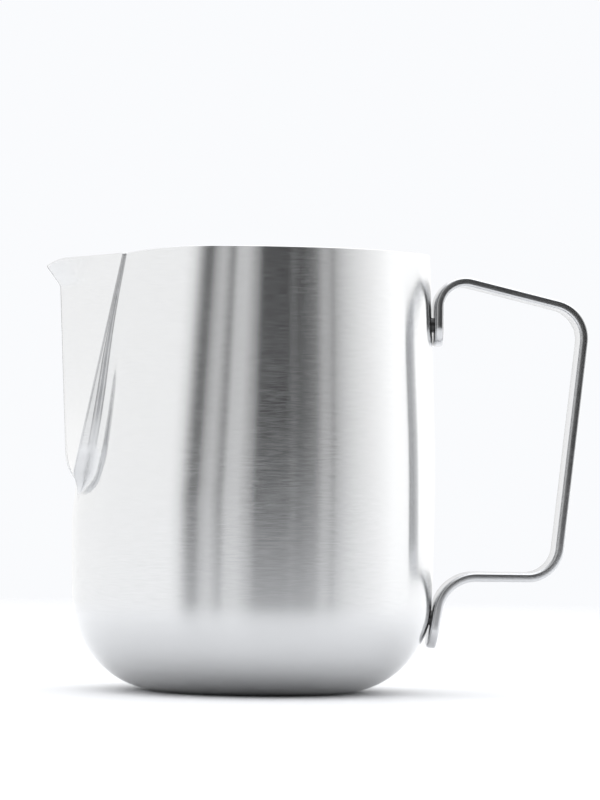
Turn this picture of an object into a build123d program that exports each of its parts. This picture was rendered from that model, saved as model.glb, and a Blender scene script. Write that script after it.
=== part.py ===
from build123d import *
import os
from math import atan, cos, radians, sin, tan

os.makedirs("parts", exist_ok=True)

# Milk frothing pitcher: a drawn cup with a pressed V spout and one welded strap handle.
# Millimetres. +Z is up, the flat base stands on Z = 0 and the cup's axis is the Z axis.
# The spout points to -X and the handle stands out to +X.

# Cup: outer skin
RIM_HEIGHT = 108.7
RIM_RADIUS = 43.05
SHOULDER_HEIGHT = 66
SHOULDER_RADIUS = 44.7
BELLY_HEIGHT = 47
BELLY_RADIUS = 45.0
HEEL_HEIGHT = 21.9
HEEL_RADIUS = 44.65
BASE_RADIUS = 22.2
WALL = 0.8

# Spout: straight front line with a turned-out lip, and side edges that run down to a foot.
# Each station gives its height, how far the nose and the side edges stand out along -X,
# and how far the side edges stand proud of the cup's skin.
FOOT = (50.6, 44.2, 43.9, -0.3)
HEEL_OF_SPOUT = (53.5, 46.0, 43.8, 1.0)
HEM = (59.0, 47.0, 42.8, 2.0)
FOLD = (99.9, 49.15, 33.9, 0.8)
LIP = (104.7, 52.4, 32.9, 0.6)
FACET_ANGLE = 15
FACET_RUN = 7
SPOUT_NOSE_RADIUS = 1.6

# Rim line: level round the back, sinking to the spout's side edge and then to the lip
RIM_DIP_START = 14
RIM_DIP_END = (32.0, 107.2)
RIM_CURL_START = (46.5, 106.6)

# Handle: one flat strip, bent in the XZ plane; corner points of its centre line
STRIP_WIDTH = 13.0
STRIP_THICKNESS = 2.3
STRIP_EDGE_RADIUS = 0.6
STRIP_END_RADIUS = 5
WELD_GAP = 0.1
UPPER_TAB_END = 86.2
UPPER_BEND_HEIGHT = 103.8
UPPER_BEND_RADIUS = 5.2
TOP_CORNER = (82.1, 95.1)
TOP_CORNER_RADIUS = 8.7
BOTTOM_CORNER = (75.2, 29.1)
BOTTOM_CORNER_RADIUS = 8.0
LOWER_BEND_RADIUS = 9.6
LOWER_TAB_LEAN = 9.5
LOWER_TAB_END = 11.2

# Spot welds: two nuggets side by side at each end of the strip
NUGGET_DIAMETER = 3.5
NUGGET_SPACING = 6.0
NUGGET_IN_WALL = 0.6
NUGGET_IN_STRIP = 0.8
UPPER_WELD_HEIGHT = 91.5

# Margin of cutting bodies past the part, and tolerance for picking edges by length
CLEAR = 8
SEAM_TOLERANCE = 0.01

WALL_TAPER = (SHOULDER_RADIUS - RIM_RADIUS) / (RIM_HEIGHT - SHOULDER_HEIGHT)


def wall_radius(height):
    """Outer radius of the tapered upper wall."""
    return RIM_RADIUS + WALL_TAPER * (RIM_HEIGHT - height)


def spout_section(station, inset):
    """Pointed outline of the spout at one height, with short side facets back to the cup."""
    height, front, reach, step = station
    skin = min(wall_radius(height), BELLY_RADIUS) + step
    half_width = (skin**2 - reach**2) ** 0.5
    back = reach - FACET_RUN
    back_width = half_width + FACET_RUN * tan(radians(FACET_ANGLE))
    with BuildSketch(Plane.XY.offset(height)) as section:
        with BuildLine():
            Polyline(
                (-front, 0),
                (-reach, half_width),
                (-back, back_width),
                (-back, -back_width),
                (-reach, -half_width),
                close=True,
            )
        make_face()
        fillet(section.vertices().sort_by(Axis.X)[0], SPOUT_NOSE_RADIUS)
        if inset:
            offset(amount=-inset, kind=Kind.INTERSECTION, mode=Mode.REPLACE)
    return section.sketch


def cup_form(inset):
    """Solid cup with its spout, every skin moved inwards by the inset."""
    above_lip = [2 * lip - fold for lip, fold in zip(LIP, FOLD)]
    stations = (FOOT, HEEL_OF_SPOUT, HEM, FOLD, above_lip)
    sections = [spout_section(station, inset) for station in stations]
    with BuildPart() as form:
        with BuildSketch(Plane.XZ):
            with BuildLine():
                floor = Line((0, inset), (BASE_RADIUS, inset))
                heel = TangentArc(floor @ 1, (HEEL_RADIUS - inset, HEEL_HEIGHT), tangent=floor % 1)
                belly = TangentArc(heel @ 1, (BELLY_RADIUS - inset, BELLY_HEIGHT), tangent=heel % 1)
                shoulder = TangentArc(
                    belly @ 1, (SHOULDER_RADIUS - inset, SHOULDER_HEIGHT), tangent=belly % 1
                )
                rim = Line(shoulder @ 1, (RIM_RADIUS - inset, RIM_HEIGHT))
                Polyline(rim @ 1, (0, RIM_HEIGHT), (0, inset))
            make_face()
        revolve(axis=Axis.Z)
        loft(sections=sections, ruled=True)
    return form.part


def strip_corner(plane, height):
    """Point at one height on the straight line that a welded tab's centre follows."""
    start = plane.origin + plane.z_dir * (STRIP_THICKNESS / 2)
    rise = (height - start.Z) / plane.y_dir.Z
    point = start + plane.y_dir * rise
    return (point.X, point.Z)


def nuggets(plane):
    """Two short plugs of fused metal across the seam between strip and wall."""
    depth = WELD_GAP + NUGGET_IN_WALL
    with BuildPart() as pair:
        with BuildSketch(plane.offset(-depth)):
            with GridLocations(NUGGET_SPACING, 0, 2, 1):
                Circle(NUGGET_DIAMETER / 2)
        extrude(amount=depth + NUGGET_IN_STRIP)
    return pair.part


# Inner faces of the two welded tabs: x along Y, y up the strip, z straight out of the cup
taper_angle = atan(WALL_TAPER)
upper_normal = Vector(cos(taper_angle), 0, sin(taper_angle))
upper_contact = Vector(wall_radius(UPPER_WELD_HEIGHT), 0, UPPER_WELD_HEIGHT)
upper_seat = Plane(
    origin=upper_contact + upper_normal * WELD_GAP, x_dir=(0, 1, 0), z_dir=upper_normal
)

heel_bend = ((HEEL_RADIUS - BASE_RADIUS) ** 2 + HEEL_HEIGHT**2) / (2 * HEEL_HEIGHT)
lean = radians(LOWER_TAB_LEAN)
lower_normal = Vector(cos(lean), 0, -sin(lean))
heel_centre = Vector(BASE_RADIUS, 0, heel_bend)
lower_seat = Plane(
    origin=heel_centre + lower_normal * (heel_bend + WELD_GAP), x_dir=(0, 1, 0), z_dir=lower_normal
)

outer_form = cup_form(0)
inner_form = cup_form(WALL)
upper_nuggets = nuggets(upper_seat)
lower_nuggets = nuggets(lower_seat)

# Drawn cup: skin of even thickness, trimmed along the sinking rim line
lip_height, lip_front = LIP[:2]
with BuildPart() as jug_body:
    add(outer_form)
    add(inner_form, mode=Mode.SUBTRACT)
    with BuildSketch(Plane.XZ):
        with BuildLine():
            level = Line((RIM_RADIUS + CLEAR, RIM_HEIGHT), (-RIM_DIP_START, RIM_HEIGHT))
            dip = TangentArc(level @ 1, (-RIM_DIP_END[0], RIM_DIP_END[1]), tangent=level % 1)
            flank = Line(dip @ 1, (-RIM_CURL_START[0], RIM_CURL_START[1]))
            curl = TangentArc(flank @ 1, (-lip_front, lip_height), tangent=flank % 1)
            Polyline(
                curl @ 1,
                (-lip_front - CLEAR, lip_height - CLEAR),
                (-lip_front - CLEAR, RIM_HEIGHT + CLEAR),
                (RIM_RADIUS + CLEAR, RIM_HEIGHT + CLEAR),
                (RIM_RADIUS + CLEAR, RIM_HEIGHT),
            )
        make_face()
    extrude(amount=BELLY_RADIUS + CLEAR, both=True, mode=Mode.SUBTRACT)
    add(upper_nuggets, mode=Mode.SUBTRACT)
    add(lower_nuggets, mode=Mode.SUBTRACT)


def is_seam(edge):
    """True for the straight joins across the strip or through its thickness."""
    straight = edge.geom_type == GeomType.LINE
    crossing = abs(edge.length - STRIP_WIDTH) < SEAM_TOLERANCE
    through = abs(edge.length - STRIP_THICKNESS) < SEAM_TOLERANCE
    return straight and (crossing or through)


# Handle: the strip's side outline, widened to both sides, then its edges broken
strip_corners = [
    strip_corner(upper_seat, UPPER_TAB_END),
    strip_corner(upper_seat, UPPER_BEND_HEIGHT),
    TOP_CORNER,
    BOTTOM_CORNER,
    strip_corner(lower_seat, BOTTOM_CORNER[1]),
    strip_corner(lower_seat, LOWER_TAB_END),
]
bend_radii = [UPPER_BEND_RADIUS, TOP_CORNER_RADIUS, BOTTOM_CORNER_RADIUS, LOWER_BEND_RADIUS]
with BuildPart() as handle_strap:
    with BuildSketch(Plane.XZ):
        with BuildLine():
            centre_line = FilletPolyline(*strip_corners, radius=bend_radii)
        trace(centre_line, STRIP_THICKNESS)
    extrude(amount=STRIP_WIDTH / 2, both=True)
    end_corners = edges().filter_by(GeomType.LINE).group_by(SortBy.LENGTH)[0]
    fillet(end_corners, STRIP_END_RADIUS)
    seams = edges().filter_by(is_seam)
    fillet(edges() - seams, STRIP_EDGE_RADIUS)
    add(upper_nuggets, mode=Mode.SUBTRACT)
    add(lower_nuggets, mode=Mode.SUBTRACT)

jug_body.part.label = "jug_body"
handle_strap.part.label = "handle_strap"
upper_nuggets.label = "upper_spot_welds"
lower_nuggets.label = "lower_spot_welds"
export_step(jug_body.part, "parts/jug_body.step")
export_step(handle_strap.part, "parts/handle_strap.step")
export_step(upper_nuggets, "parts/upper_spot_welds.step")
export_step(lower_nuggets, "parts/lower_spot_welds.step")
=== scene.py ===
import math

import bmesh
import bpy
import numpy as np
from mathutils import Matrix, Vector


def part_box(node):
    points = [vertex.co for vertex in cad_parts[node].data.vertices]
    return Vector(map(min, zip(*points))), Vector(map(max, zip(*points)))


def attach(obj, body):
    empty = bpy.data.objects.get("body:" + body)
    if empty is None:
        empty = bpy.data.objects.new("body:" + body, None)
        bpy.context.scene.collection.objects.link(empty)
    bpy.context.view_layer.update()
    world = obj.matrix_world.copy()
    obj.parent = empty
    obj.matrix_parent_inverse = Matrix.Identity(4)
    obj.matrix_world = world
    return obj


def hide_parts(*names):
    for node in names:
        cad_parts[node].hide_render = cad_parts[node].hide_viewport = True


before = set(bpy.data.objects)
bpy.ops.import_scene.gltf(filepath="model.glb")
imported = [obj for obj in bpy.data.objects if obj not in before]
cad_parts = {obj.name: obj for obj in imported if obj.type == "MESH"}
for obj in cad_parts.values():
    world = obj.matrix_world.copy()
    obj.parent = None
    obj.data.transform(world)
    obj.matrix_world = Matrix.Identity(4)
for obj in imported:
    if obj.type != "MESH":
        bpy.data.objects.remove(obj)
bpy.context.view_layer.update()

# Milk frothing pitcher: a drawn cup with a pressed V spout and one welded strap handle.
# Lengths of the object are millimetres in the CAD model's frame, and MM turns them into metres.
# The spout points to -X, the handle to +X and the camera's side is -Y. Outlines are halves, at
# +Y, that are mirrored to -Y.
MM = 0.001

cup_low, cup_high = [np.array(corner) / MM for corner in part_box("jug_body")]
strap_low, strap_high = [np.array(corner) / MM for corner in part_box("handle_strap")]

# Cup: its height, width and lip come from the CAD body's own box
RIM_HEIGHT = cup_high[2]
RIM_RADIUS = 0.396 * RIM_HEIGHT
SHOULDER_HEIGHT = 66.0
SHOULDER_RADIUS = 44.7
BELLY_HEIGHT = 47.0
BELLY_RADIUS = cup_high[1]
HEEL_HEIGHT = 21.9
HEEL_RADIUS = 44.65
BASE_RADIUS = 22.2
WALL = 0.8

# Cut rim, a squarish half round: its rise above the two skins and how square it is
RIM_ROUND = 0.32
RIM_SQUARENESS = 0.8
RIM_ARC_POINTS = 9

# Rim line: level round the back, sinking to the spout's edge and on to the lip. Starts and ends
# are distances from the cup's axis towards the spout.
RIM_DIP_START = 14.0
RIM_DIP_END = 32.0
RIM_AT_EDGE = 107.2
RIM_CURL_START = 46.5
RIM_AT_CURL = 106.7

# Spout: a pressed panel whose front line runs from its foot over the hem to the fold and the
# turned-out lip. Each front is a distance along -X, and the tuck draws the line in below the hem.
FOOT_HEIGHT = 50.4
HEM_HEIGHT = 59.0
HEM_FRONT = 46.9
HEM_TUCK = 0.0172
HEM_TUCK_POWER = 2.4
FOLD_HEIGHT = 99.9
FOLD_FRONT = 48.75
FOLD_SOFTNESS = 0.2
LIP_HEIGHT = 104.9
LIP_FRONT = -cup_low[0]
NOSE_ROUND = 0.7
NOSE_ROUND_INSIDE = 1.8

# The flank beside the nose is drawn in a little, less so on the lip
PINCH = 0.35
PINCH_ON_LIP = 0.6
PINCH_FADE = 4.0
PINCH_START = 0.25
PINCH_RUN = 0.45

# Edge of the spout, the corner between its flank and the groove: its distance along -X at the
# rim, how much that grows per millimetre down, and the most that it comes to. It is rounded over
# a length each way, on a curve that keeps near the corner by its share of sharpness.
EDGE_AT_RIM = 33.1
EDGE_LEAN = 0.211
EDGE_AT_FOOT = 44.7
EDGE_ROUND = 0.3
EDGE_ROUND_INSIDE = 1.1
EDGE_SHARPNESS = 0.8

# The panel rises out of the wall over a run above its foot. The foot lies lower under its edges
# than under its nose, and a higher sweep drops it later on the way out.
EDGE_FOOT_HEIGHT = 46.5
NOSE_FOOT_RUN = 3.2
EDGE_FOOT_RUN = 7.5
FOOT_HALF_WIDTH = 9.0
FOOT_SWEEP = 1.5

# Shallow dent in the wall under the panel's foot
DENT_DEPTH = 0.7
DENT_START = 42.0
DENT_RUN = 8.0
DENT_HALF_ANGLE = math.radians(24)

# Pressed groove beside the spout's edge. Each row gives a height and, there, how far the edge
# stands proud of the wall; the lengths along the surface at which the facet under the edge ends
# and at which the surface turns inwards most; the length of its turn back out; and the distance
# along X from the edge to where the round wall begins again.
GROOVE = [
    (46.5, 0.0, 1.0, 1.8, 1.4, 7.0),
    (50.0, 1.2, 1.4, 2.3, 1.6, 7.4),
    (54.0, 2.5, 1.8, 2.8, 1.8, 8.0),
    (59.0, 3.3, 1.8, 2.9, 1.8, 8.4),
    (67.0, 2.9, 1.4, 2.5, 1.7, 7.8),
    (74.7, 2.4, 0.9, 1.9, 1.6, 7.0),
    (82.1, 2.05, 0.35, 1.2, 1.4, 6.0),
    (89.6, 1.75, 0.1, 0.65, 1.2, 5.0),
    (97.0, 1.4, 0.0, 0.4, 0.9, 4.2),
    (108.7, 1.0, 0.0, 0.15, 0.6, 3.4),
]
# Bearings of the surface's normal from -X along the groove: at the edge, after the edge's own
# turn, at the facet's end, where the surface turns inwards most, and after its turn back out.
# Its points crowd towards the edge, and RISE_HANDLES shape the curve from there to the wall.
GROOVE_BEARINGS = [math.radians(angle) for angle in (92, 64.5, 64.5, 98, 48)]
EDGE_TURN = 0.22
GROOVE_CROWDING = 1.3
RISE_HANDLES = (0.35, 0.45)

# The wall beside the spout is drawn in where the panel was pressed out
PULL = 1.4
PULL_START = 44.0
PULL_FULL = math.radians(50)
PULL_GONE = math.radians(97)

# Heel line: laid out in fine steps, eased over its bends, then cut into even rows
FLAT_RADIUS = BASE_RADIUS - 2.0
HEEL_STEP = 0.25
HEEL_ARC_POINTS = 130
EASE_STEPS = 14
EASE_MARGIN = 8.0
HEEL_ROW_SPACING = 1.3

# Points of each stretch of a half outline, and the least gap before the edge's rounding
FLANK_POINTS = 26
CORNER_POINTS = 6
GROOVE_POINTS = 26
RISE_POINTS = 12
WALL_POINTS = 84
MERGE_GAP = 0.02

# Rows of outlines: rings in the flat base as shares of its radius, then bands up the cup as a
# lowest height, a highest height and a count
BASE_RINGS = np.linspace(0.06, 0.94, 6)
UNDER_FOLD = 97.0
ROW_BANDS = [
    (DENT_START, FOOT_HEIGHT, 12),
    (FOOT_HEIGHT, HEM_HEIGHT, 26),
    (HEM_HEIGHT, UNDER_FOLD, 30),
    (UNDER_FOLD, RIM_HEIGHT, 26),
]

# Table of outlines that rows are read from, and passes of the searches that close in on a value
SKIN_LEVELS = 400
SKIN_ABOVE_RIM = 1.0
BEARING_PASSES = 4
BEARING_STEP = 0.01
RIM_PASSES = 10

# Handle strap: corners of its centre line in X and Z from its upper end to its lower one, and
# the radius of the bend at each corner between
STRAP_CORNERS = [(45.3, 86.2), (45.15, 104.0), (82.1, 95.2), (75.2, 29.1), (47.3, 29.1), (44.35, 11.2)]
STRAP_BENDS = [6.5, 8.7, 8.0, 9.6]
STRIP_WIDTH = strap_high[1] - strap_low[1]
STRIP_THICKNESS = 2.3
STRIP_ROUND = 0.7
STRIP_END_RADIUS = 5.0
BEND_POINTS = 25
STRIP_END_POINTS = 18
STRIP_ROUND_POINTS = 7
STRIP_SPACING = 1.2

# Steel: the grain is darker in its low places, and a slow cloud lets the roughness drift
GRAIN_DETAIL = 4.0
GRAIN_LOW = 0.3
GRAIN_HIGH = 0.65
GRAIN_SHADE = 0.95
GRAIN_DEPTH = 0.03 * MM
CLOUD_SCALE = 22.0
CLOUD_DETAIL = 2.0
CLOUD_DRIFT = 0.02
QUARTER_TURN = 0.25

# Floor, in metres: opaque under the object and gone by the end of its fade
FLOOR_HALF_SIZE = 3.0
FLOOR_FADE = (0.05, 0.7)
FLOOR_TONE = (0.9, 0.905, 0.915, 1)
FLOOR_ROUGHNESS = 0.6
FLOOR_SPECULAR = 0.2

# Brightness of the studio round the object. Each stop is a bearing in degrees, counted from
# straight behind the object (+Y) round by the spout's side, the camera's side and the handle's.
STUDIO = [
    (0, 0.95), (25, 1.2), (60, 1.3), (126, 1.27), (132, 1.04), (137, 0.43), (140, 0.14), (143.5, 0.14),
    (147, 0.52), (152, 0.68), (155, 0.55), (159, 0.26), (163, 0.73), (170, 0.75), (179, 0.32), (182, 0.05),
    (201, 0.03), (205, 0.13), (209, 0.05), (220, 0.2), (225, 0.53), (229, 0.53), (232, 0.35), (234, 0.55),
    (241, 0.81), (250, 1.03), (281, 1.56), (302, 1.56), (310, 1.5), (325, 1.54), (341, 1.3), (360, 0.95),
]
# The overhead light takes over between two heights of a direction's Z, and is brighter towards
# the handle. STUDIO_TOP keeps every ramp colour below 1.
OVERHEAD = (2.0, 2.02, 2.06)
OVERHEAD_RISE = (0.5, 0.9)
OVERHEAD_SIDES = [(0.2, 0.85), (0.8, 1.05)]
STUDIO_TOP = 2.2
BACKDROP = (0.955, 0.965, 0.985, 1)

# Camera: its place in metres, its lens and sensor in millimetres. The photograph sees the handle
# swung a little away, so the camera and the studio are swung round the object by that much.
HANDLE_SWING = math.radians(2.3)
CAMERA_EYE = Vector((0.0117, -1.1, 0.058))
CAMERA_AIM = Vector((0.0112, 0.0, 0.0724))
CAMERA_ROLL = math.radians(0.82)
SENSOR_WIDTH = 36
FOCAL_LENGTH = 199.1


# ---------------------------------------------------------------- lines and meshes

def smooth(t):
    """Rises from 0 to 1 as t does, with level ends."""
    t = np.clip(t, 0.0, 1.0)
    return t * t * (3 - 2 * t)


def lerp(a, b, t):
    return a + (b - a) * t


def unit(vector):
    return vector / np.linalg.norm(vector)


def along(bearing):
    """Direction along a surface whose normal has this bearing from -X."""
    return np.array((math.sin(bearing), math.cos(bearing)))


def bezier(p0, p1, p2, p3, count):
    """Points of a cubic curve, without its first."""
    t = np.linspace(0, 1, count + 1)[1:, None]
    s = 1 - t
    return s**3 * p0 + 3 * s * s * t * p1 + 3 * s * t * t * p2 + t**3 * p3


def lengths_along(points):
    """Distance of each point of a polyline from its start."""
    return np.concatenate(([0], np.cumsum(np.linalg.norm(np.diff(points, axis=0), axis=1))))


def points_at(places, lengths, points):
    """Points of a flat polyline at places between its own."""
    return np.stack([np.interp(places, lengths, points[:, k]) for k in (0, 1)], axis=1)


def resample(points, count):
    """The same polyline with a fixed number of points, keeping its spacing in proportion."""
    return points_at(np.linspace(0, 1, count), np.linspace(0, 1, len(points)), points)


def tube_faces(rings, count):
    """Quads between neighbouring rings of count points each."""
    faces = []
    for j in range(rings - 1):
        for i in range(count):
            k = (i + 1) % count
            faces.append((j * count + i, j * count + k, (j + 1) * count + k, (j + 1) * count + i))
    return faces


def mesh_object(name, points, faces):
    mesh = bpy.data.meshes.new(name)
    mesh.from_pydata([tuple(point * MM) for point in points], [], faces)
    mesh.validate()
    bm = bmesh.new()
    bm.from_mesh(mesh)
    bmesh.ops.recalc_face_normals(bm, faces=bm.faces)
    bm.to_mesh(mesh)
    bm.free()
    for polygon in mesh.polygons:
        polygon.use_smooth = True
    piece = bpy.data.objects.new(name, mesh)
    bpy.context.collection.objects.link(piece)
    return piece


# ---------------------------------------------------------------- cup surface

def wall_radius(z):
    """Outer radius of the drawn cup above its heel."""
    if z >= SHOULDER_HEIGHT:
        t = (z - SHOULDER_HEIGHT) / (RIM_HEIGHT - SHOULDER_HEIGHT)
        return lerp(SHOULDER_RADIUS, RIM_RADIUS, t)
    if z >= BELLY_HEIGHT:
        t = (z - BELLY_HEIGHT) / (SHOULDER_HEIGHT - BELLY_HEIGHT)
        return BELLY_RADIUS - (BELLY_RADIUS - SHOULDER_RADIUS) * t * t
    t = (BELLY_HEIGHT - z) / (BELLY_HEIGHT - HEEL_HEIGHT)
    return BELLY_RADIUS - (BELLY_RADIUS - HEEL_RADIUS) * t * t


def nose_front(z):
    """How far the spout's front line stands out along -X, without the turned-out lip."""
    line = lerp(HEM_FRONT, FOLD_FRONT, (z - HEM_HEIGHT) / (FOLD_HEIGHT - HEM_HEIGHT))
    below_hem = max(HEM_HEIGHT - z, 0.0)
    return line - HEM_TUCK * below_hem**HEM_TUCK_POWER


def lip_flare(z):
    """Extra reach of the lip above the fold, rounded at the fold."""
    slope = (LIP_FRONT - FOLD_FRONT) / (LIP_HEIGHT - FOLD_HEIGHT)
    return slope * FOLD_SOFTNESS * np.logaddexp(0, (z - FOLD_HEIGHT) / FOLD_SOFTNESS)


def rim_line(x):
    """Height of the rim at a distance x along the cup, negative towards the spout."""
    out = -x
    if out <= RIM_DIP_START:
        return RIM_HEIGHT
    if out <= RIM_DIP_END:
        t = (out - RIM_DIP_START) / (RIM_DIP_END - RIM_DIP_START)
        return lerp(RIM_HEIGHT, RIM_AT_EDGE, t * t)
    if out <= RIM_CURL_START:
        t = (out - RIM_DIP_END) / (RIM_CURL_START - RIM_DIP_END)
        return lerp(RIM_AT_EDGE, RIM_AT_CURL, t)
    t = (out - RIM_CURL_START) / (LIP_FRONT - RIM_CURL_START)
    return lerp(RIM_AT_CURL, LIP_HEIGHT, t * t)


def edge_reach(z):
    """How far along -X the spout's edge lies."""
    return min(EDGE_AT_RIM + EDGE_LEAN * (RIM_HEIGHT - z), EDGE_AT_FOOT)


def groove_sizes(z):
    """The groove's five lengths at one height."""
    levels, *columns = zip(*GROOVE)
    return [np.interp(z, levels, column) for column in columns]


def side_wall(z, bearing):
    """Radius of the round wall at a bearing from -X, drawn in beside the spout."""
    height = max(z - PULL_START, 0.0) / (RIM_HEIGHT - PULL_START)
    t = np.clip((bearing - PULL_FULL) / (PULL_GONE - PULL_FULL), 0, 1)
    return wall_radius(z) - PULL * height * 0.5 * (1 + np.cos(math.pi * t))


def wall_point(z, bearing):
    """Point of the round wall at a bearing from -X."""
    return side_wall(z, bearing) * np.array((-np.cos(bearing), np.sin(bearing)))


def wall_bearing(z, out):
    """Bearing at which the round wall stands this far out along -X."""
    bearing = math.acos(out / wall_radius(z))
    for _ in range(BEARING_PASSES):
        bearing = math.acos(out / float(side_wall(z, bearing)))
    return bearing


def dent_depth(z, bearings):
    """Depth of the dent under the panel."""
    return DENT_DEPTH * smooth((z - DENT_START) / DENT_RUN) * np.exp(-((bearings / DENT_HALF_ANGLE) ** 4))


def plain_ring(radius, bearings):
    """Points at bearings from -X, at one radius or at one each."""
    return np.reshape(radius, (-1, 1)) * np.stack((-np.cos(bearings), np.sin(bearings)), axis=1)


def bearings_of(outline):
    return np.arctan2(outline[:, 1], -outline[:, 0])


def outward(outline):
    """Unit normals of a half outline, level with X at its two ends."""
    tangent = np.gradient(outline, axis=0)
    normal = np.stack((-tangent[:, 1], tangent[:, 0]), axis=1)
    normal[0], normal[-1] = (-1, 0), (1, 0)
    return normal / np.linalg.norm(normal, axis=1)[:, None]


def flank(z, corner, nose_round):
    """Points of the flat flank from the nose's middle to the corner, crowded towards both ends."""
    u = np.linspace(0, 1, 4 * FLANK_POINTS)
    u = lerp(u, smooth(u), 0.5)
    y = u * corner[1]
    bow = np.hypot(y, nose_round) - nose_round
    bow /= math.hypot(corner[1], nose_round) - nose_round
    front = nose_front(z)
    x = -front + (front + corner[0]) * bow - lip_flare(z) * (1 - u) ** 2
    pinch = PINCH * lerp(1, PINCH_ON_LIP, smooth(0.5 + (z - FOLD_HEIGHT) / PINCH_FADE))
    x += pinch * np.clip((y - PINCH_START) / PINCH_RUN, 0, 1) * (1 - u)
    return np.stack((x, y), axis=1)


def groove(z, corner, end_bearing):
    """Points from the spout's edge down its facet, through the groove and up to the round wall."""
    _, facet_end, inmost, turn, _ = groove_sizes(z)
    stops = np.cumsum((0.0, EDGE_TURN, facet_end, inmost - facet_end, turn))
    places = stops[-1] * np.linspace(0, 1, GROOVE_POINTS + 1) ** GROOVE_CROWDING
    points = [corner]
    for place, following in zip(places, places[1:]):
        bearing = np.interp((place + following) / 2, stops, GROOVE_BEARINGS)
        points.append(points[-1] + (following - place) * along(bearing))
    start, end = points[-1], wall_point(z, end_bearing)
    end_dir = unit(end - wall_point(z, end_bearing - BEARING_STEP))
    chord = np.linalg.norm(end - start)
    leave = start + RISE_HANDLES[0] * chord * along(GROOVE_BEARINGS[-1])
    arrive = end - RISE_HANDLES[1] * chord * end_dir
    return np.vstack((points[1:], bezier(start, leave, arrive, end, RISE_POINTS)))


def pressed_outline(z, inside):
    """Half outline with the spout pressed out in full, and half the spout's width at its edges."""
    nose_round = NOSE_ROUND_INSIDE if inside else NOSE_ROUND
    edge_round = EDGE_ROUND_INSIDE if inside else EDGE_ROUND
    reach = edge_reach(z)
    proud, *_, wall_run = groove_sizes(z)
    edge_radius = side_wall(z, 0.0) + proud
    half_width = math.sqrt(max(edge_radius**2 - reach**2, FOOT_HALF_WIDTH**2))
    corner = np.array((-reach, half_width))

    side = flank(z, corner, nose_round)
    before = corner - edge_round * unit(side[-1] - side[-2])
    after = corner + edge_round * along(GROOVE_BEARINGS[0])
    side = resample(np.vstack((side[side[:, 1] < before[1] - MERGE_GAP], before)), FLANK_POINTS)
    handles = [lerp(end, corner, EDGE_SHARPNESS) for end in (before, after)]
    turn = bezier(before, *handles, after, CORNER_POINTS)

    end_bearing = wall_bearing(z, reach - wall_run)
    bearings = np.linspace(end_bearing, math.pi, WALL_POINTS + 1)[1:]
    wall = wall_point(z, bearings).T
    return np.vstack((side, turn, groove(z, after, end_bearing), wall)), half_width


def section(z, inset):
    """Half outline of the cup at one height, from the nose round to the back, in X and Y."""
    if z < EDGE_FOOT_HEIGHT:
        bearings = bearings_of(section(EDGE_FOOT_HEIGHT, inset))
        return plain_ring(wall_radius(z) - inset - dent_depth(z, bearings), bearings)
    pressed, half_width = pressed_outline(z, inset > 0)
    bearings = bearings_of(pressed)
    plain = plain_ring(wall_radius(z) - dent_depth(z, bearings), bearings)
    off_nose = np.clip(pressed[:, 1] / half_width, 0, 1) ** FOOT_SWEEP
    foot = lerp(FOOT_HEIGHT, EDGE_FOOT_HEIGHT, off_nose)
    run = lerp(NOSE_FOOT_RUN, EDGE_FOOT_RUN, off_nose)
    outline = lerp(plain, pressed, smooth((z - foot) / run)[:, None])
    if inset:
        outline = outline - inset * outward(outline)
    return outline


def heel_line(inset):
    """Radius and height from the flat base round the heel and up the plain wall, eased."""
    bend = ((HEEL_RADIUS - BASE_RADIUS) ** 2 + HEEL_HEIGHT**2) / (2 * HEEL_HEIGHT)
    radius = bend - inset
    top = math.asin((bend - HEEL_HEIGHT) / bend)
    line = [(r, inset) for r in np.arange(BASE_RADIUS - EASE_MARGIN, BASE_RADIUS, HEEL_STEP)]
    for angle in np.linspace(math.pi / 2, top, HEEL_ARC_POINTS):
        line.append((BASE_RADIUS + radius * math.cos(angle), bend - radius * math.sin(angle)))
    wall_heights = np.arange(HEEL_HEIGHT + HEEL_STEP, DENT_START + EASE_MARGIN, HEEL_STEP)
    line += [(wall_radius(z) - inset, z) for z in wall_heights]
    line = np.array(line)
    # A bell curve, cut off at twice its width
    weights = np.exp(-np.linspace(-2, 2, 2 * EASE_STEPS + 1) ** 2)
    weights /= weights.sum()
    eased = np.stack([np.convolve(line[:, k], weights, "valid") for k in (0, 1)], axis=1)
    eased = eased[(eased[:, 1] < DENT_START) & (eased[:, 0] > FLAT_RADIUS)]
    lengths = lengths_along(eased)
    places = np.append(np.arange(0, lengths[-1], HEEL_ROW_SPACING), lengths[-1])
    return points_at(places, lengths, eased)


def level_row(radius, z, bearings):
    """A plain half ring at one height."""
    return np.column_stack((plain_ring(radius, bearings), np.full(len(bearings), z)))


def skin_table(inset):
    """Heights from the dent to above the rim, and the half outline at each."""
    levels = np.linspace(DENT_START, RIM_HEIGHT + SKIN_ABOVE_RIM, SKIN_LEVELS)
    return levels, np.array([section(level, inset) for level in levels])


def on_skin(table, z):
    """Each column's point on the skin at its own height."""
    levels, outlines = table
    place = (z - levels[0]) / (levels[1] - levels[0])
    low = np.clip(place.astype(int), 0, len(levels) - 2)
    part = (place - low)[:, None]
    columns = np.arange(len(z))
    flat = lerp(outlines[low, columns], outlines[low + 1, columns], part)
    return np.column_stack((flat, z))


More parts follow.
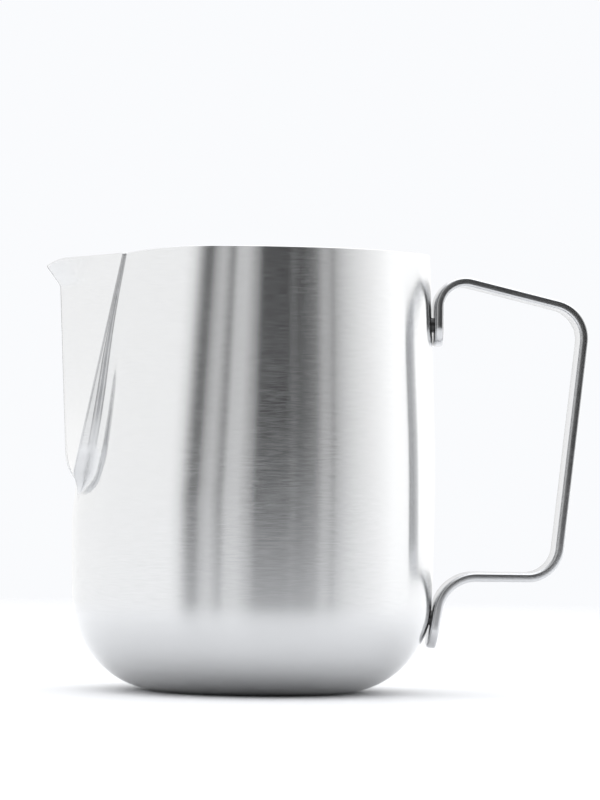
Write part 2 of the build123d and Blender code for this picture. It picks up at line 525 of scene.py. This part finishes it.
def skin_rows(inset):
    """Rows of half outlines from the base's middle to the rim, as points in X, Y and Z."""
    bearings = bearings_of(section(EDGE_FOOT_HEIGHT, inset))
    rows = [level_row(FLAT_RADIUS * share, inset, bearings) for share in BASE_RINGS]
    rows += [level_row(radius, z, bearings) for radius, z in heel_line(inset)]
    heights = np.concatenate([np.linspace(*band)[1:] for band in ROW_BANDS])
    table = skin_table(inset)
    for height in heights:
        # A row's share of the way up is the same all round, so the top row follows the rim line
        share = (height - DENT_START) / (RIM_HEIGHT - DENT_START)
        row = section(height, inset)
        for _ in range(RIM_PASSES):
            rim = np.array([rim_line(x) for x in row[:, 0]]) - RIM_ROUND
            row = on_skin(table, lerp(DENT_START, rim, share))
        rows.append(row)
    return rows


def whole_ring(half):
    """A closed ring from a half outline: the half at +Y, then its mirror image at -Y."""
    mirrored = half[1:-1][::-1] * np.array((1, -1, 1))
    return np.vstack((half, mirrored))


def make_cup():
    """The cup as one closed skin: up the outside, over the rim and down the inside."""
    outer = [whole_ring(row) for row in skin_rows(0.0)]
    inner = [whole_ring(row) for row in skin_rows(WALL)]
    rim = []
    for angle in np.linspace(0, math.pi, RIM_ARC_POINTS)[1:-1]:
        across = 0.5 * (1 - math.copysign(abs(math.cos(angle)) ** RIM_SQUARENESS, math.cos(angle)))
        rise = np.array((0, 0, RIM_ROUND * math.sin(angle)))
        rim.append(lerp(outer[-1], inner[-1], across) + rise)
    rings = outer + rim + inner[::-1]
    count = len(rings[0])
    faces = tube_faces(len(rings), count)
    points = np.vstack((*rings, (0, 0, 0), (0, 0, WALL)))
    last = (len(rings) - 1) * count
    for i in range(count):
        k = (i + 1) % count
        faces.append((k, i, len(points) - 2))
        faces.append((last + i, last + k, len(points) - 1))
    return mesh_object("pressed_cup", points, faces)


# ---------------------------------------------------------------- handle strap

def bend_points(before, corner, after, radius):
    """Points of the arc that rounds a corner."""
    back, onward = unit(before - corner), unit(after - corner)
    half = math.acos(np.clip(back @ onward, -1, 1)) / 2
    reach = radius / math.tan(half)
    centre = corner + unit(back + onward) * radius / math.sin(half)
    first, last = [math.atan2(*(corner + way * reach - centre)[::-1]) for way in (back, onward)]
    turn = (last - first + math.pi) % (2 * math.pi) - math.pi
    angles = first + turn * np.linspace(0, 1, BEND_POINTS)
    return centre + radius * np.stack((np.cos(angles), np.sin(angles)), axis=1)


def strap_path():
    """Centre line of the strap in X and Z, as close points."""
    corners = np.array(STRAP_CORNERS)
    bends = [bend_points(*corners[k:k + 3], radius) for k, radius in enumerate(STRAP_BENDS)]
    points = np.vstack((corners[0], *bends, corners[-1]))
    path = [points[0]]
    for a, b in zip(points, points[1:]):
        steps = max(1, int(np.linalg.norm(b - a) / STRIP_SPACING))
        path += [lerp(a, b, t) for t in np.linspace(0, 1, steps + 1)[1:]]
    return np.array(path)


def strap_stations(lengths):
    """Distances along the strap, crowded at both ends for the rounded corners."""
    total = lengths[-1]
    quarter = np.linspace(0, math.pi / 2, STRIP_END_POINTS)
    near_end = [STRIP_END_RADIUS * (1 - math.cos(angle)) for angle in quarter]
    middle = [s for s in lengths if STRIP_END_RADIUS < s < total - STRIP_END_RADIUS]
    stations = near_end + middle + [total - s for s in near_end]
    return sorted(set(round(s, 5) for s in stations))


def rounded_height(distance, radius):
    """Height of a quarter round at a distance from where it starts."""
    left = radius - min(distance, radius)
    return math.sqrt(max(radius**2 - left**2, 0.0))


def strip_outline(half_width, half_thick):
    """Outline across the strap with rounded edges, as places across it and out from it."""
    thick_round = min(STRIP_ROUND, half_thick)
    quarter = np.linspace(0, math.pi / 2, STRIP_ROUND_POINTS)
    outline = []
    for side, face in ((1, 1), (-1, 1), (-1, -1), (1, -1)):
        arc = quarter if side == face else quarter[::-1]
        for angle in arc:
            across = half_width - STRIP_ROUND + STRIP_ROUND * math.cos(angle)
            out = half_thick - thick_round + thick_round * math.sin(angle)
            outline.append((side * across, face * out))
    return np.array(outline)


def make_strap():
    path = strap_path()
    lengths = lengths_along(path)
    stations = strap_stations(lengths)
    spots = points_at(stations, lengths, path)
    tangents = np.gradient(spots, axis=0)
    tangents /= np.linalg.norm(tangents, axis=1)[:, None]
    normals = np.stack((tangents[:, 1], -tangents[:, 0]), axis=1)
    rings = []
    for station, spot, normal in zip(stations, spots, normals):
        from_end = max(min(station, lengths[-1] - station), 0.0)
        half_width = STRIP_WIDTH / 2 - STRIP_END_RADIUS + rounded_height(from_end, STRIP_END_RADIUS)
        half_thick = STRIP_THICKNESS / 2 - STRIP_ROUND + rounded_height(from_end, STRIP_ROUND)
        outline = strip_outline(half_width, half_thick)
        place = spot + outline[:, 1:] * normal
        rings.append(np.column_stack((place[:, 0], outline[:, 0], place[:, 1])))
    count = len(rings[0])
    last = (len(rings) - 1) * count
    faces = tube_faces(len(rings), count)
    faces.append(tuple(range(count)))
    faces.append(tuple(range(last, last + count)))
    return mesh_object("bent_strap", np.vstack(rings), faces)


# ---------------------------------------------------------------- materials

def new_material(name):
    material = bpy.data.materials.new(name)
    material.use_nodes = True
    return material, material.node_tree, material.node_tree.nodes["Principled BSDF"]


def math_node(tree, operation, *values):
    node = tree.nodes.new("ShaderNodeMath")
    node.operation = operation
    for socket, value in zip(node.inputs, values):
        if isinstance(value, bpy.types.NodeSocket):
            tree.links.new(value, socket)
        else:
            socket.default_value = value
    return node.outputs[0]


def noise(tree, place, scale, detail):
    node = tree.nodes.new("ShaderNodeTexNoise")
    node.inputs["Scale"].default_value = scale
    node.inputs["Detail"].default_value = detail
    tree.links.new(place, node.inputs["Vector"])
    return node.outputs["Fac"]


def ramp(tree, value, stops):
    """Colours against a value, from pairs of place and colour in rising order."""
    node = tree.nodes.new("ShaderNodeValToRGB")
    elements = node.color_ramp.elements
    for element, (place, color) in zip((elements[0], elements[1]), (stops[0], stops[-1])):
        element.position = place
        element.color = (*color, 1)
    for place, color in stops[1:-1]:
        elements.new(place).color = (*color, 1)
    tree.links.new(value, node.inputs["Fac"])
    return node.outputs["Color"]


def map_range(tree, value, start, end, low, high, interpolation):
    node = tree.nodes.new("ShaderNodeMapRange")
    node.interpolation_type = interpolation
    node.inputs["From Min"].default_value = start
    node.inputs["From Max"].default_value = end
    node.inputs["To Min"].default_value = low
    node.inputs["To Max"].default_value = high
    tree.links.new(value, node.inputs["Value"])
    return node.outputs["Result"]


def brushed_steel(name, tone, roughness, swing, grain_scale, relief, lay, axis):
    """Brushed stainless steel.

    swing is how far the grain moves the roughness, grain_scale how many grains there are per
    metre along X, Y and Z, and relief how deep they look. lay is how far reflections are drawn
    out across the brushing, which runs round the axis.
    """
    material, tree, shader = new_material(name)
    shader.inputs["Metallic"].default_value = 1.0
    shader.inputs["Anisotropic"].default_value = lay
    shader.inputs["Anisotropic Rotation"].default_value = QUARTER_TURN
    place = tree.nodes.new("ShaderNodeTexCoord").outputs["Object"]
    stretch = tree.nodes.new("ShaderNodeMapping")
    stretch.inputs["Scale"].default_value = grain_scale
    tree.links.new(place, stretch.inputs["Vector"])
    grain = noise(tree, stretch.outputs["Vector"], 1.0, GRAIN_DETAIL)
    cloud = noise(tree, place, CLOUD_SCALE, CLOUD_DETAIL)

    shaded = [channel * GRAIN_SHADE for channel in tone]
    tint = ramp(tree, grain, [(GRAIN_LOW, shaded), (GRAIN_HIGH, tone)])
    tree.links.new(tint, shader.inputs["Base Color"])

    # The noise has its middle at 0.5, so it swings evenly about the roughness asked for
    rough = math_node(tree, "MULTIPLY", grain, 4 * swing)
    rough = math_node(tree, "ADD", rough, roughness - 2 * swing)
    drift = math_node(tree, "MULTIPLY", cloud, CLOUD_DRIFT)
    rough = math_node(tree, "ADD", rough, drift)
    tree.links.new(rough, shader.inputs["Roughness"])

    bump = tree.nodes.new("ShaderNodeBump")
    bump.inputs["Strength"].default_value = relief
    bump.inputs["Distance"].default_value = GRAIN_DEPTH
    tree.links.new(grain, bump.inputs["Height"])
    tree.links.new(bump.outputs["Normal"], shader.inputs["Normal"])

    tangent = tree.nodes.new("ShaderNodeTangent")
    tangent.direction_type = "RADIAL"
    tangent.axis = axis
    tree.links.new(tangent.outputs["Tangent"], shader.inputs["Tangent"])
    return material


def wear(piece, material):
    piece.data.materials.clear()
    piece.data.materials.append(material)


# ---------------------------------------------------------------- pieces

cup = make_cup()
wear(cup, brushed_steel(
    "brushed_cup_steel", tone=(0.665, 0.67, 0.675), roughness=0.17, swing=0.035,
    grain_scale=(300, 300, 5600), relief=0.16, lay=1.0, axis="Z",
))
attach(cup, "root")
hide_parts("jug_body")

strap = make_strap()
wear(strap, brushed_steel(
    "satin_strap_steel", tone=(0.655, 0.66, 0.67), roughness=0.2, swing=0.02,
    grain_scale=(300, 3600, 300), relief=0.04, lay=0.3, axis="Y",
))
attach(strap, "root")
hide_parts("handle_strap")

weld_metal = brushed_steel(
    "fused_weld_metal", tone=(0.08, 0.08, 0.08), roughness=0.35, swing=0.02,
    grain_scale=(2500, 2500, 2500), relief=0.4, lay=0.0, axis="Z",
)
for weld in ("upper_spot_welds", "lower_spot_welds"):
    wear(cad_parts[weld], weld_metal)


# ---------------------------------------------------------------- stage, light, camera

def make_floor():
    """A pale floor that fades out away from the object, so that it has no far edge."""
    half = FLOOR_HALF_SIZE
    mesh = bpy.data.meshes.new("floor")
    corners = [(-half, -half, 0), (half, -half, 0), (half, half, 0), (-half, half, 0)]
    mesh.from_pydata(corners, [], [(0, 1, 2, 3)])
    floor = bpy.data.objects.new("floor", mesh)
    bpy.context.collection.objects.link(floor)

    material, tree, shader = new_material("pale_floor")
    shader.inputs["Base Color"].default_value = FLOOR_TONE
    shader.inputs["Roughness"].default_value = FLOOR_ROUGHNESS
    shader.inputs["Specular IOR Level"].default_value = FLOOR_SPECULAR
    place = tree.nodes.new("ShaderNodeTexCoord").outputs["Object"]
    distance = tree.nodes.new("ShaderNodeVectorMath")
    distance.operation = "LENGTH"
    tree.links.new(place, distance.inputs[0])
    fade = map_range(tree, distance.outputs["Value"], *FLOOR_FADE, 1.0, 0.0, "LINEAR")
    tree.links.new(fade, shader.inputs["Alpha"])
    wear(floor, material)


def overhead_light(tree, x):
    """The overhead light's colour, against a direction's X."""
    across = math_node(tree, "MULTIPLY_ADD", x, 0.5, 0.5)
    return ramp(tree, across, [
        (place, [level * channel / STUDIO_TOP for channel in OVERHEAD]) for place, level in OVERHEAD_SIDES
    ])


def make_studio():
    """Light from all round, by bearing and height, with a plain backdrop for the camera."""
    world = bpy.data.worlds.new("studio")
    bpy.context.scene.world = world
    world.use_nodes = True
    tree = world.node_tree
    tree.nodes.clear()
    split = tree.nodes.new("ShaderNodeSeparateXYZ")
    tree.links.new(tree.nodes.new("ShaderNodeTexCoord").outputs["Generated"], split.inputs[0])
    minus_x = math_node(tree, "MULTIPLY", split.outputs["X"], -1.0)
    bearing = math_node(tree, "ARCTAN2", minus_x, split.outputs["Y"])
    bearing = math_node(tree, "ADD", bearing, HANDLE_SWING)
    turn = math_node(tree, "DIVIDE", bearing, 2 * math.pi)
    turn = math_node(tree, "WRAP", turn, 1.0, 0.0)
    ring = ramp(tree, turn, [(angle / 360, (level / STUDIO_TOP,) * 3) for angle, level in STUDIO])

    sky = tree.nodes.new("ShaderNodeMix")
    sky.data_type = "RGBA"
    lift = map_range(tree, split.outputs["Z"], *OVERHEAD_RISE, 0.0, 1.0, "SMOOTHSTEP")
    tree.links.new(lift, sky.inputs["Factor"])
    tree.links.new(ring, sky.inputs["A"])
    tree.links.new(overhead_light(tree, split.outputs["X"]), sky.inputs["B"])

    around = tree.nodes.new("ShaderNodeBackground")
    around.inputs["Strength"].default_value = STUDIO_TOP
    tree.links.new(sky.outputs["Result"], around.inputs["Color"])
    backdrop = tree.nodes.new("ShaderNodeBackground")
    backdrop.inputs["Color"].default_value = BACKDROP
    mix = tree.nodes.new("ShaderNodeMixShader")
    tree.links.new(tree.nodes.new("ShaderNodeLightPath").outputs["Is Camera Ray"], mix.inputs["Fac"])
    tree.links.new(around.outputs["Background"], mix.inputs[1])
    tree.links.new(backdrop.outputs["Background"], mix.inputs[2])
    output = tree.nodes.new("ShaderNodeOutputWorld")
    tree.links.new(mix.outputs["Shader"], output.inputs["Surface"])


def make_camera():
    data = bpy.data.cameras.new("camera")
    data.sensor_width = SENSOR_WIDTH
    data.lens = FOCAL_LENGTH
    camera = bpy.data.objects.new("camera", data)
    bpy.context.collection.objects.link(camera)
    facing = (CAMERA_AIM - CAMERA_EYE).to_track_quat("-Z", "Y").to_matrix().to_4x4()
    roll = Matrix.Rotation(CAMERA_ROLL, 4, "Z")
    swing = Matrix.Rotation(-HANDLE_SWING, 4, "Z")
    camera.matrix_world = swing @ Matrix.Translation(CAMERA_EYE) @ facing @ roll
    bpy.context.scene.camera = camera


make_floor()
make_studio()
make_camera()
bpy.context.scene.view_settings.view_transform = "Standard"
